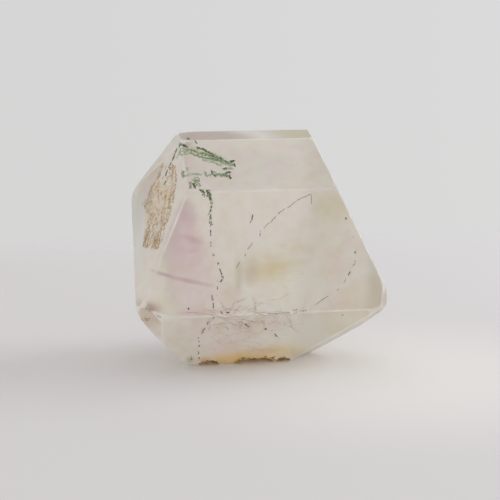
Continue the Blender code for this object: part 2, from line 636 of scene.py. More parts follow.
@dataclass
class StoneBody:
    """The stone itself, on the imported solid's shape.

    A face that lies inside the convex hull is a broken place, or stained rock low at the front. Any
    other face is polished if it is wide enough for a facet, and otherwise an eased edge.
    """

    node: bpy.types.Object
    polished: PolishedFluorite = PolishedFluorite()
    eased: Grain = Grain(
        "eased_edge", shade(243, 238, 229), shade(255, 252, 246), 260,
        roughness=0.55, transmission=0.46,
    )
    broken: Grain = Grain(
        "broken_place", shade(216, 204, 190), shade(242, 234, 222), 700,
        roughness=0.6, transmission=0.4,
    )
    crusted: Grain = Grain(
        "brown_crust", shade(198, 158, 100), shade(250, 218, 156), 1100,
        transmission=0.5,
    )
    same_point: float = 0.002 * MM
    flat_within: float = math.radians(0.6)
    narrowest_facet: float = 1.2 * MM
    inside_by: float = 0.03 * MM
    crust_below: float = 3.2 * MM
    crust_before: float = -4.0 * MM

    def __post_init__(self) -> None:
        """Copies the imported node's mesh, merges its doubles and joins each flat face's triangles."""
        self.mesh = self.node.data.copy()
        self.mesh.name = "stone"
        self.mesh.materials.clear()
        self.shape = bmesh.new()
        self.shape.from_mesh(self.mesh)
        bmesh.ops.remove_doubles(self.shape, verts=self.shape.verts, dist=self.same_point)
        bmesh.ops.dissolve_limit(
            self.shape,
            angle_limit=self.flat_within,
            verts=self.shape.verts,
            edges=self.shape.edges,
        )
        self.shape.normal_update()
        self.outside = BVHTree.FromBMesh(self.shape)

    def hit(self, look: Look, place: Place, depth: float) -> tuple[Vector, Vector] | None:
        """Finds the point at or under the polish that a side view shows at a place.

        Args:
            look: the side that it is seen from.
            place: the place in mm, as that side is seen.
            depth: how far under the surface the point lies.

        Returns:
            The point and the surface's outward direction there, or nothing where the view misses.
        """
        start, along = look.ray(place)
        point, normal, _, _ = self.outside.ray_cast(start, along)
        if point is None:
            return None
        return point - normal * depth, normal

    def dress(self) -> bpy.types.Object:
        """Gives each face its finish and makes the piece.

        Returns:
            The piece.
        """
        planes = self._hull_planes()
        for face in self.shape.faces:
            face.material_index = self._surface(face, planes).value
            face.smooth = False
        self.shape.to_mesh(self.mesh)
        for finish in (self.polished, self.eased, self.broken, self.crusted):
            self.mesh.materials.append(finish.material())
        return link("stone_body", self.mesh)

    def _hull_planes(self) -> list[tuple[Vector, Vector]]:
        """Finds the flat sides that the stone would have if nothing had broken off.

        Returns:
            The outward direction of each side of the convex hull, and a point on it.
        """
        hull = bmesh.new()
        for vert in self.shape.verts:
            hull.verts.new(vert.co)
        bmesh.ops.convex_hull(hull, input=hull.verts)
        sides = [face for face in hull.faces if face.calc_area() > 0]
        planes = [(face.normal.copy(), face.calc_center_median()) for face in sides]
        hull.free()
        return planes

    def _surface(self, face: bmesh.types.BMFace, planes: list[tuple[Vector, Vector]]) -> Surface:
        """Tells what a face is.

        Args:
            face: the face.
            planes: the sides of the convex hull.

        Returns:
            What it is.
        """
        middle = face.calc_center_median()
        inside = min((point - middle).dot(normal) for normal, point in planes)
        if inside > self.inside_by:
            crusted = middle.z < self.crust_below and middle.y < self.crust_before
            return Surface.CRUSTED if crusted else Surface.BROKEN
        # A long face is about twice its area over its perimeter wide.
        wide = 2 * face.calc_area() > self.narrowest_facet * face.calc_perimeter()
        return Surface.POLISHED if wide else Surface.EASED


@dataclass(frozen=True)
class Stroke:
    """A short run of mineral along a line on one side of the stone.

    The points are across and up in mm, as that side is seen.
    """

    half_width_mm: float
    points: tuple[Place, ...]


def stroke(half_width_mm: float, *points: Place) -> Stroke:
    """Makes a stroke from its half width and its points."""
    return Stroke(half_width_mm, points)


class Draw(Enum):
    """The kinds of number that are drawn at random for each point.

    Each is the Random Value node's data type, with its low and high inputs and its output for it.
    """

    VECTOR = ("FLOAT_VECTOR", 0, 1, 0)
    NUMBER = ("FLOAT", 2, 3, 1)


class FleckTree:
    """The Geometry Nodes tree that lays crumbs or flakes of mineral along lines."""

    SQUEEZE_LOW = (0.6, 0.5, 1.0)
    SQUEEZE_HIGH = (1.3, 1.0, 1.0)
    CHANCE_OUTPUT = 3
    # What is added to the seed for each thing that is drawn, so that no two of them go together.
    SPREAD_SEED, CHANCE_SEED, SIZE_SEED, OUTLINE_SEED, TURN_SEED = range(5)

    def __init__(self) -> None:
        """Builds the tree with its named inputs."""
        self.tree = bpy.data.node_groups.new("flecks_along_lines", "GeometryNodeTree")
        self.sockets: dict[str, str] = {}
        self._interface()
        self.board = NodeBoard(self.tree)
        self.given = self.board.add("NodeGroupInput").outputs
        self.outward = self._attribute("outward", "FLOAT_VECTOR")
        self._nodes()

    def _interface(self) -> None:
        interface = self.tree.interface
        interface.new_socket("Geometry", in_out="OUTPUT", socket_type="NodeSocketGeometry")
        for name, kind in (
            ("Geometry", "NodeSocketGeometry"),
            ("Spacing", "NodeSocketFloat"),
            ("Smallest", "NodeSocketFloat"),
            ("Largest", "NodeSocketFloat"),
            ("Thickness", "NodeSocketFloat"),
            ("Share Kept", "NodeSocketFloat"),
            ("Seed", "NodeSocketInt"),
            ("Finish", "NodeSocketMaterial"),
        ):
            socket = interface.new_socket(name, in_out="INPUT", socket_type=kind)
            self.sockets[name] = socket.identifier

    def _nodes(self) -> None:
        """Wires the tree: lines to points, points to flecks, flecks to one plain mesh."""
        board = self.board
        crumb = board.add("GeometryNodeMeshIcoSphere", {"Radius": 1.0, "Subdivisions": 1})
        chance = {"Probability": self.given["Share Kept"], "Seed": self._seed(self.CHANCE_SEED)}
        kept = board.add("FunctionNodeRandomValue", chance, data_type="BOOLEAN")
        flecks = {
            "Points": self._points(),
            "Selection": kept.outputs[self.CHANCE_OUTPUT],
            "Instance": crumb.outputs[0],
            "Rotation": self._rotation(),
            "Scale": self._scale(),
        }
        placed = board.add("GeometryNodeInstanceOnPoints", flecks)
        real = board.add("GeometryNodeRealizeInstances", {"Geometry": placed.outputs[0]})
        finish = {"Geometry": real.outputs[0], "Material": self.given["Finish"]}
        finished = board.add("GeometryNodeSetMaterial", finish)
        board.add("NodeGroupOutput", {"Geometry": finished.outputs[0]})

    def _points(self) -> bpy.types.NodeSocket:
        """Sets points along the lines and moves each of them at random within the stone's surface.

        Returns:
            The points.
        """
        board = self.board
        line = board.add("GeometryNodeMeshToCurve", {"Mesh": self.given["Geometry"]})
        spacing = {"Curve": line.outputs[0], "Length": self.given["Spacing"]}
        even = board.add("GeometryNodeResampleCurve", spacing, mode="LENGTH")
        points = board.add("GeometryNodeCurveToPoints", {"Curve": even.outputs[0]}, mode="EVALUATED")
        anywhere = self._random(Draw.VECTOR, (-1, -1, -1), (1, 1, 1), self.SPREAD_SEED)
        lift = board.vector("DOT_PRODUCT", anywhere, self.outward)
        flat = board.vector("SUBTRACT", anywhere, board.vector("SCALE", self.outward, lift))
        offset = board.vector("SCALE", flat, self._attribute("reach", "FLOAT"))
        moved = {"Geometry": points.outputs[0], "Offset": offset}
        return board.add("GeometryNodeSetPosition", moved).outputs[0]

    def _rotation(self) -> bpy.types.NodeSocket:
        """Lays each fleck flat on the stone and turns it at random.

        Returns:
            The rotation.
        """
        board = self.board
        facing = board.add("FunctionNodeAlignRotationToVector", {"Vector": self.outward}, axis="Z")
        turn = self._random(Draw.NUMBER, 0.0, math.tau, self.TURN_SEED)
        spin = board.add("FunctionNodeAxisAngleToRotation", {"Axis": (0, 0, 1), "Angle": turn})
        turns = {"Rotation": facing.outputs[0], "Rotate By": spin.outputs[0]}
        return board.add("FunctionNodeRotateRotation", turns, rotation_space="LOCAL").outputs[0]

    def _scale(self) -> bpy.types.NodeSocket:
        """Gives each fleck a random size and outline, and the thickness that is asked for.

        Returns:
            The scale.
        """
        board, given = self.board, self.given
        size = self._random(Draw.NUMBER, given["Smallest"], given["Largest"], self.SIZE_SEED)
        squeeze = self._random(Draw.VECTOR, self.SQUEEZE_LOW, self.SQUEEZE_HIGH, self.OUTLINE_SEED)
        flatness = board.add("ShaderNodeCombineXYZ", {0: 1.0, 1: 1.0, 2: given["Thickness"]})
        outline = board.vector("MULTIPLY", squeeze, flatness.outputs[0])
        return board.vector("SCALE", outline, size)

    def _attribute(self, name: str, kind: str) -> bpy.types.NodeSocket:
        """Reads one of the lines' own attributes."""
        node = self.board.add("GeometryNodeInputNamedAttribute", {"Name": name}, data_type=kind)
        return node.outputs[0]

    def _seed(self, added: int) -> bpy.types.NodeSocket:
        """The tree's seed with a number added."""
        return self.board.math("ADD", self.given["Seed"], added)

    def _random(self, draw: Draw, low: object, high: object, added: int) -> bpy.types.NodeSocket:
        """Draws a value for each point.

        Args:
            draw: the kind of value.
            low: its low end.
            high: its high end.
            added: what is added to the seed for it.

        Returns:
            The value.
        """
        data_type, low_input, high_input, result = draw.value
        inputs = {low_input: low, high_input: high, "Seed": self._seed(added)}
        node = self.board.add("FunctionNodeRandomValue", inputs, data_type=data_type)
        return node.outputs[result]

    def lay(self, name: str, lines: bpy.types.Mesh, sizes: dict[str, object]) -> bpy.types.Object:
        """Lays flecks along lines and makes them one plain mesh.

        Args:
            name: the piece's name.
            lines: the lines, with their reach and outward direction at each point.
            sizes: the tree's inputs by name.

        Returns:
            The piece.
        """
        piece = link(name, lines)
        modifier = piece.modifiers.new("flecks", "NODES")
        modifier.node_group = self.tree
        for key, value in sizes.items():
            modifier[self.sockets[key]] = value
        graph = bpy.context.evaluated_depsgraph_get()
        made = bpy.data.meshes.new_from_object(piece.evaluated_get(graph))
        piece.modifiers.remove(modifier)
        piece.data = made
        made.name = name
        return piece


@dataclass
class Growth:
    """A mineral that grew as crumbs or flakes along strokes, at the polish or just under it.

    size_mm is the radius of its smallest and largest fleck, and thickness is a fleck's as a share of
    its radius. The strokes are followed in steps of step_mm.
    """

    name: str
    look: Look
    finish: Grain
    strokes: tuple[Stroke, ...]
    size_mm: Span
    spacing_mm: float
    seed: int
    depth_mm: float = 0.01
    thickness: float = 0.25
    share_kept: float = 0.9
    step_mm: float = 0.4

    def grow(self, stone: StoneBody, tree: FleckTree) -> bpy.types.Object:
        """Builds the piece.

        Args:
            stone: the stone.
            tree: the tree that lays the flecks.

        Returns:
            The piece.
        """
        smallest, largest = self.size_mm
        sizes = {
            "Spacing": self.spacing_mm * MM,
            "Smallest": smallest * MM,
            "Largest": largest * MM,
            "Thickness": self.thickness,
            "Share Kept": self.share_kept,
            "Seed": self.seed,
            "Finish": self.finish.material(),
        }
        return tree.lay(self.name, self._lines(stone), sizes)

    def _lines(self, stone: StoneBody) -> bpy.types.Mesh:
        """Carries the strokes onto the stone as chains of points.

        Args:
            stone: the stone.

        Returns:
            A mesh of edges with the reach and outward direction at each point.
        """
        places: list[Vector] = []
        links: list[tuple[int, int]] = []
        reaches: list[float] = []
        outward: list[Vector] = []
        for run in self.strokes:
            before = None
            for place in self._steps(run.points):
                found = stone.hit(self.look, place, self.depth_mm * MM)
                if found is None:
                    before = None
                    continue
                places.append(found[0])
                outward.append(found[1])
                reaches.append(run.half_width_mm * MM)
                if before is not None:
                    links.append((before, len(places) - 1))
                before = len(places) - 1
        mesh = bpy.data.meshes.new(self.name + "_lines")
        mesh.from_pydata(places, links, [])
        mesh.attributes.new("reach", "FLOAT", "POINT").data.foreach_set("value", reaches)
        parts = [part for direction in outward for part in direction]
        mesh.attributes.new("outward", "FLOAT_VECTOR", "POINT").data.foreach_set("vector", parts)
        return mesh

    def _steps(self, points: tuple[Place, ...]) -> Iterable[Place]:
        """Steps evenly along a stroke's points and ends on the last.

        Args:
            points: the stroke's points.

        Yields:
            The places.
        """
        for (x, y), (next_x, next_y) in zip(points, points[1:]):
            count = max(1, round(math.hypot(next_x - x, next_y - y) / self.step_mm))
            for step in range(count):
                share = step / count
                yield x + (next_x - x) * share, y + (next_y - y) * share
        yield points[-1]


class Minerals:
    """A sub-assembly of minerals. Each of its growths is one piece."""

    def growths(self) -> Iterable[Growth]:
        """Plans the growths, in the order in which they are laid."""
        raise NotImplementedError

    def build(self, stone: StoneBody, tree: FleckTree) -> list[bpy.types.Object]:
        """Builds the growths.

        Args:
            stone: the stone.
            tree: the tree that lays the flecks.

        Returns:
            The pieces.
        """
        return [growth.grow(stone, tree) for growth in self.growths()]


@dataclass
class DottedVeins(Minerals):
    """Thin healed fractures, each a broken line of dark crumbs, with pale glints beside them."""

    dark: Grain = Grain("vein_dark", shade(62, 66, 44), shade(116, 114, 88))
    grey: Grain = Grain("vein_grey", shade(114, 109, 94), shade(154, 146, 128))
    green: Grain = Grain("vein_green", shade(72, 88, 54), shade(118, 126, 92))
    olive: Grain = Grain("vein_olive", shade(134, 120, 92), shade(172, 158, 130))
    glint: Grain = Grain("glint_pale", shade(226, 222, 212), shade(250, 247, 240), roughness=0.4)
    fine_mm: Span = (0.045, 0.11)
    middling_mm: Span = (0.06, 0.15)
    speck_mm: Span = (0.07, 0.17)
    coarse_mm: Span = (0.08, 0.22)
    spacing_mm: float = 0.036
    first_seed: int = 1
    top: tuple[Stroke, ...] = (
        stroke(0.5, (-14.6, 43.0), (-13.6, 42.6)),
        stroke(0.25, (-13.9, 43.9), (-13.5, 43.2)),
        stroke(0.28, (-13.3, 43.7), (-13.1, 42.4)),
        stroke(0.2, (-13.4, 42.3), (-12.9, 41.7)),
    )
    back: tuple[Stroke, ...] = (
        stroke(0.1, (-6.2, 44.6), (-6.6, 41.8), (-5.9, 39.5)),
        stroke(0.16, (-5.7, 38.6), (-5.2, 36.9)),
        stroke(0.08, (-4.9, 35.4), (-3.8, 32.6), (-3.5, 30.2)),
        stroke(0.14, (-3.2, 28.4), (-2.4, 26.9)),
        stroke(0.07, (-1.8, 25.2), (1.2, 21.8), (2.4, 18.7)),
        stroke(0.12, (9.4, 33.6), (10.0, 32.8)),
        stroke(0.06, (11.0, 31.4), (12.8, 27.6), (12.4, 24.6)),
    )
    glints: tuple[Stroke, ...] = (
        stroke(0.18, (-12.2, 40.6), (-11.9, 39.4)),
        stroke(0.12, (-12.5, 37.0), (-12.4, 35.9)),
        stroke(0.1, (-11.9, 33.4), (-11.7, 32.5)),
        stroke(0.16, (-11.9, 22.7), (-11.5, 22.0)),
        stroke(0.14, (-9.8, 22.0), (-9.4, 21.4)),
        stroke(0.14, (-11.9, 19.3), (-11.8, 18.4)),
        stroke(0.1, (-14.0, 17.6), (-13.6, 16.8)),
        stroke(0.12, (-8.6, 20.2), (-7.4, 20.0)),
        stroke(0.1, (-7.4, 18.6), (-6.9, 17.4)),
        stroke(0.12, (5.2, 21.9), (7.4, 21.6)),
        stroke(0.1, (3.8, 20.4), (5.2, 20.0)),
        stroke(0.1, (8.4, 23.4), (9.4, 23.2)),
        stroke(0.1, (4.6, 9.0), (6.4, 9.0)),
        stroke(0.08, (4.4, 8.0), (6.8, 7.6)),
        stroke(0.1, (-20.4, 36.2), (-19.6, 34.9)),
    )
    main: tuple[Stroke, ...] = (
        stroke(0.36, (-13.2, 41.9), (-12.8, 40.6)),
        stroke(0.26, (-12.8, 40.3), (-13.0, 39.2), (-13.4, 38.3)),
        stroke(0.26, (-13.1, 38.2), (-13.1, 36.9)),
        stroke(0.34, (-13.2, 36.7), (-13.0, 35.4)),
        stroke(0.08, (-13.1, 34.5), (-13.1, 33.1)),
        stroke(0.2, (-13.1, 31.8), (-13.1, 31.5)),
        stroke(0.08, (-13.1, 31.0), (-13.1, 30.6)),
        stroke(0.2, (-12.5, 28.9), (-12.4, 28.3)),
        stroke(0.16, (-11.4, 26.8), (-11.4, 26.2)),
        stroke(0.12, (-11.1, 25.3), (-10.5, 23.8)),
        stroke(0.26, (-10.4, 23.6), (-10.4, 23.0)),
        stroke(0.14, (-10.5, 22.8), (-10.9, 22.1)),
        stroke(0.08, (-11.6, 21.0), (-11.7, 20.4)),
        stroke(0.2, (-12.9, 19.0), (-12.8, 17.9)),
        stroke(0.1, (-12.7, 17.2), (-12.7, 16.0)),
        stroke(0.15, (-12.6, 13.8), (-12.6, 13.4)),
        stroke(0.16, (-13.8, 12.6), (-14.0, 11.8)),
        stroke(0.22, (-14.5, 10.7), (-14.9, 9.4)),
        stroke(0.08, (-15.7, 8.3), (-15.6, 7.9)),
        stroke(0.12, (-15.4, 7.2), (-15.4, 6.9)),
        stroke(0.2, (-15.3, 6.0), (-15.2, 5.6)),
        stroke(0.16, (-15.3, 4.2), (-15.2, 3.4)),
        stroke(0.2, (-15.0, 2.5), (-14.9, 2.0)),
        stroke(0.4, (-17.0, 2.4), (-17.0, 1.7)),
    )
    arc: tuple[Stroke, ...] = (
        stroke(0.09, (11.0, 42.2), (9.4, 41.6), (7.9, 41.0), (6.5, 40.0)),
        stroke(0.16, (6.5, 40.0), (5.3, 39.0)),
        stroke(0.07, (4.7, 38.9), (3.6, 38.2), (2.8, 37.5)),
        stroke(0.1, (2.6, 37.2), (1.8, 36.4)),
        stroke(0.24, (1.7, 36.4), (1.2, 35.9)),
        stroke(0.07, (0.9, 35.8), (-0.3, 34.6)),
        stroke(0.1, (-1.2, 33.9), (-1.3, 32.7)),
        stroke(0.06, (-3.1, 31.1), (-3.5, 30.6)),
        stroke(0.15, (-3.7, 30.4), (-4.3, 29.6)),
        stroke(0.1, (-4.8, 28.7), (-5.0, 28.0)),
        stroke(0.05, (-6.2, 26.7), (-7.1, 25.3)),
        stroke(0.05, (11.2, 42.0), (11.2, 40.0)),
    )
    right: tuple[Stroke, ...] = (
        stroke(0.07, (21.4, 31.9), (21.4, 31.5)),
        stroke(0.1, (21.9, 25.9), (21.8, 25.2), (21.3, 24.7)),
        stroke(0.1, (19.6, 21.8), (19.1, 20.7)),
        stroke(0.06, (17.9, 19.3), (17.4, 19.0)),
        stroke(0.06, (15.2, 17.7), (13.7, 16.8), (12.2, 15.8)),
        stroke(0.15, (9.9, 14.5), (8.5, 14.3)),
        stroke(0.1, (7.7, 14.7), (6.6, 14.6)),
        stroke(0.12, (7.4, 13.9), (6.5, 13.7)),
        stroke(0.05, (5.8, 14.0), (3.2, 14.0), (0.5, 14.0)),
    )
    specks: tuple[Stroke, ...] = (
        stroke(0.08, (-3.0, 37.8), (-3.1, 37.3)),
        stroke(0.16, (-3.1, 37.1), (-3.2, 36.5)),
        stroke(0.05, (-3.5, 36.3), (-3.6, 35.9)),
        stroke(0.12, (0.2, 9.7), (0.6, 9.9), (0.3, 9.9), (0.6, 9.6)),
        stroke(0.08, (2.9, 8.2), (3.6, 7.4)),
        stroke(0.08, (-4.8, 11.4), (-3.7, 10.5)),
        stroke(0.1, (-18.7, 16.2), (-18.5, 15.8)),
        stroke(0.1, (-10.9, 15.0), (-10.5, 14.6)),
        stroke(0.08, (-9.5, 14.8), (-8.9, 14.7)),
        stroke(0.1, (18.8, 12.9), (19.1, 12.8)),
        stroke(0.16, (20.6, 23.4), (20.3, 22.6)),
        stroke(0.12, (19.6, 36.4), (19.7, 36.1)),
        stroke(0.1, (21.9, 28.3), (21.9, 27.7)),
    )
    corner: tuple[Stroke, ...] = (
        stroke(0.3, (-29.5, 13.8), (-29.2, 13.1)),
        stroke(0.35, (-28.7, 14.0), (-28.2, 13.0)),
        stroke(0.3, (-28.2, 13.7), (-27.3, 13.7)),
        stroke(0.3, (-28.8, 16.9), (-27.6, 16.2)),
        stroke(0.16, (-25.9, 14.6), (-25.2, 14.3)),
    )

    def growths(self) -> Iterable[Growth]:
        """Plans the veins.

        Yields:
            The growths.
        """
        plan = (
            ("vein_top", Look.FRONT, self.green, self.top, self.coarse_mm),
            ("vein_main", Look.FRONT, self.dark, self.main, self.middling_mm),
            ("vein_arc", Look.FRONT, self.grey, self.arc, self.fine_mm),
            ("vein_right", Look.FRONT, self.grey, self.right, self.fine_mm),
            ("vein_back", Look.BACK, self.grey, self.back, self.fine_mm),
            ("vein_specks", Look.FRONT, self.dark, self.specks, self.speck_mm),
            ("vein_corner", Look.FRONT, self.olive, self.corner, self.middling_mm),
            ("vein_glints", Look.FRONT, self.glint, self.glints, self.fine_mm),
        )
        for seed, parts in enumerate(plan, self.first_seed):
            yield Growth(*parts, self.spacing_mm, seed)


@dataclass
class GreenFilm(Minerals):
    """A film of green mineral along the top of the upper front face and of the left face."""

    dark: Grain = Grain("film_dark", shade(62, 84, 46), shade(104, 122, 78), 1400)
    middle: Grain = Grain("film_middle", shade(112, 132, 92), shade(156, 168, 134), 1400)
    pale: Grain = Grain("film_pale", shade(158, 170, 142), shade(192, 198, 176), 1400)
    flake_mm: Span = (0.1, 0.26)
    spacing_mm: float = 0.045
    first_seed: int = 11
    edges: tuple[Stroke, ...] = (
        stroke(0.25, (-18.6, 53.6), (-17.6, 53.3), (-16.9, 53.0)),
        stroke(0.28, (-14.6, 52.8), (-13.6, 52.6), (-12.8, 52.4)),
        stroke(0.28, (-12.8, 52.2), (-12.1, 51.8), (-11.4, 51.5)),
        stroke(0.34, (-11.2, 51.3), (-10.6, 51.0)),
        stroke(0.36, (-10.1, 50.8), (-9.4, 50.5), (-8.7, 50.1)),
        stroke(0.24, (-8.6, 49.8), (-7.9, 49.6)),
        stroke(0.5, (-8.0, 49.7), (-6.9, 49.2)),
        stroke(0.26, (-7.0, 49.6), (-6.1, 49.8)),
        stroke(0.14, (-6.3, 49.2), (-6.2, 48.6)),
        stroke(0.2, (-9.0, 48.3), (-8.3, 48.1)),
        stroke(0.36, (-11.8, 47.8), (-11.7, 47.2)),
        stroke(0.26, (-11.7, 46.9), (-10.9, 46.8)),
        stroke(0.22, (-10.8, 47.1), (-10.1, 47.0), (-9.4, 46.8)),
        stroke(0.42, (-9.0, 47.1), (-8.4, 46.5)),
        stroke(0.24, (-8.6, 47.3), (-7.5, 47.5)),
        stroke(0.2, (-8.1, 46.7), (-7.6, 46.1)),
        stroke(0.14, (-16.9, 45.3), (-16.4, 44.3)),
        stroke(0.12, (-15.4, 43.9), (-14.7, 43.5)),
    )
    fill: tuple[Stroke, ...] = (
        stroke(0.3, (-16.9, 52.4), (-14.9, 52.1)),
        stroke(0.45, (-14.6, 51.8), (-12.6, 51.4), (-10.6, 50.4), (-8.4, 49.5)),
        stroke(0.2, (-16.3, 51.7), (-14.4, 50.9), (-12.6, 50.5), (-10.2, 50.0)),
        stroke(0.3, (-10.4, 50.2), (-8.4, 49.4), (-6.9, 48.9)),
        stroke(0.3, (-10.6, 47.0), (-9.2, 46.8), (-7.8, 46.7)),
        stroke(0.3, (-18.6, 47.9), (-18.7, 46.9)),
        stroke(0.36, (-16.8, 45.9), (-15.3, 45.9)),
        stroke(0.3, (-15.6, 45.2), (-15.2, 44.6)),
        stroke(0.36, (-16.0, 45.5), (-16.5, 44.8)),
        stroke(0.24, (-17.4, 45.6), (-17.6, 44.4)),
        stroke(0.3, (-15.2, 43.9), (-14.8, 43.6)),
    )
    haze: tuple[Stroke, ...] = (
        stroke(0.6, (-18.3, 52.6), (-16.6, 52.2)),
        stroke(0.5, (-18.4, 51.5), (-16.8, 51.8)),
        stroke(0.3, (-13.6, 50.2), (-11.4, 49.7), (-9.4, 48.9)),
        stroke(0.25, (-17.7, 48.6), (-17.5, 48.1)),
        stroke(0.25, (-18.5, 46.9), (-17.2, 47.2), (-16.0, 47.2), (-14.4, 47.1)),
        stroke(0.25, (-13.6, 47.7), (-13.5, 46.8), (-12.2, 47.0)),
        stroke(0.3, (-16.3, 46.5), (-15.4, 46.3)),
        stroke(0.3, (-8.2, 48.2), (-6.7, 48.2)),
        stroke(0.45, (-9.6, 50.0), (-8.0, 49.1), (-6.5, 48.9)),
        stroke(0.5, (-11.6, 47.3), (-9.8, 46.9), (-8.0, 46.9)),
    )
    left_line: tuple[Stroke, ...] = (
        stroke(0.25, (-8.2, 53.0), (-7.6, 53.6), (-6.9, 52.9)),
        stroke(0.25, (-6.7, 52.4), (-6.6, 51.5)),
        stroke(0.34, (-6.7, 51.0), (-6.7, 49.6)),
        stroke(0.18, (-6.7, 49.3), (-6.5, 47.9)),
        stroke(0.14, (-6.5, 47.4), (-6.5, 46.2)),
        stroke(0.14, (-7.7, 44.9), (-7.4, 44.2)),
    )
    left_haze: tuple[Stroke, ...] = (
        stroke(0.5, (-8.6, 52.6), (-8.2, 50.8)),
        stroke(0.3, (-12.2, 47.8), (-12.9, 47.0), (-13.9, 46.3)),
    )
    table_specks: tuple[Stroke, ...] = (
        stroke(0.26, (-15.6, -0.9), (-15.9, -4.4)),
        stroke(0.14, (-14.8, -6.6), (-14.5, -7.4)),
    )

    def growths(self) -> Iterable[Growth]:
        """Plans the film.

        Yields:
            The growths.
        """
        plan = (
            ("film_haze", Look.FRONT, self.pale, self.haze),
            ("film_fill", Look.FRONT, self.middle, self.fill),
            ("film_edges", Look.FRONT, self.dark, self.edges),
            ("film_left_haze", Look.LEFT, self.pale, self.left_haze),
            ("film_left_line", Look.LEFT, self.dark, self.left_line),
            ("film_table_specks", Look.TOP, self.dark, self.table_specks),
        )
        for seed, parts in enumerate(plan, self.first_seed):
            yield Growth(*parts, self.flake_mm, self.spacing_mm, seed)


class RustShade(Enum):
    """The colours that the rust patch is made of."""

    BROWN = "brown"
    GOLD = "gold"
    TAN = "tan"


@dataclass(frozen=True)
class RustZone:
    """A part of the patch, as shares of the way across and down it, and the chance of a run there."""

    across: Span
    down: Span
    chance: float

    def holds(self, across: float, down: float) -> bool:
        """Tells whether a place is in the zone."""
        return self.across[0] <= across <= self.across[1] and self.down[0] <= down <= self.down[1]


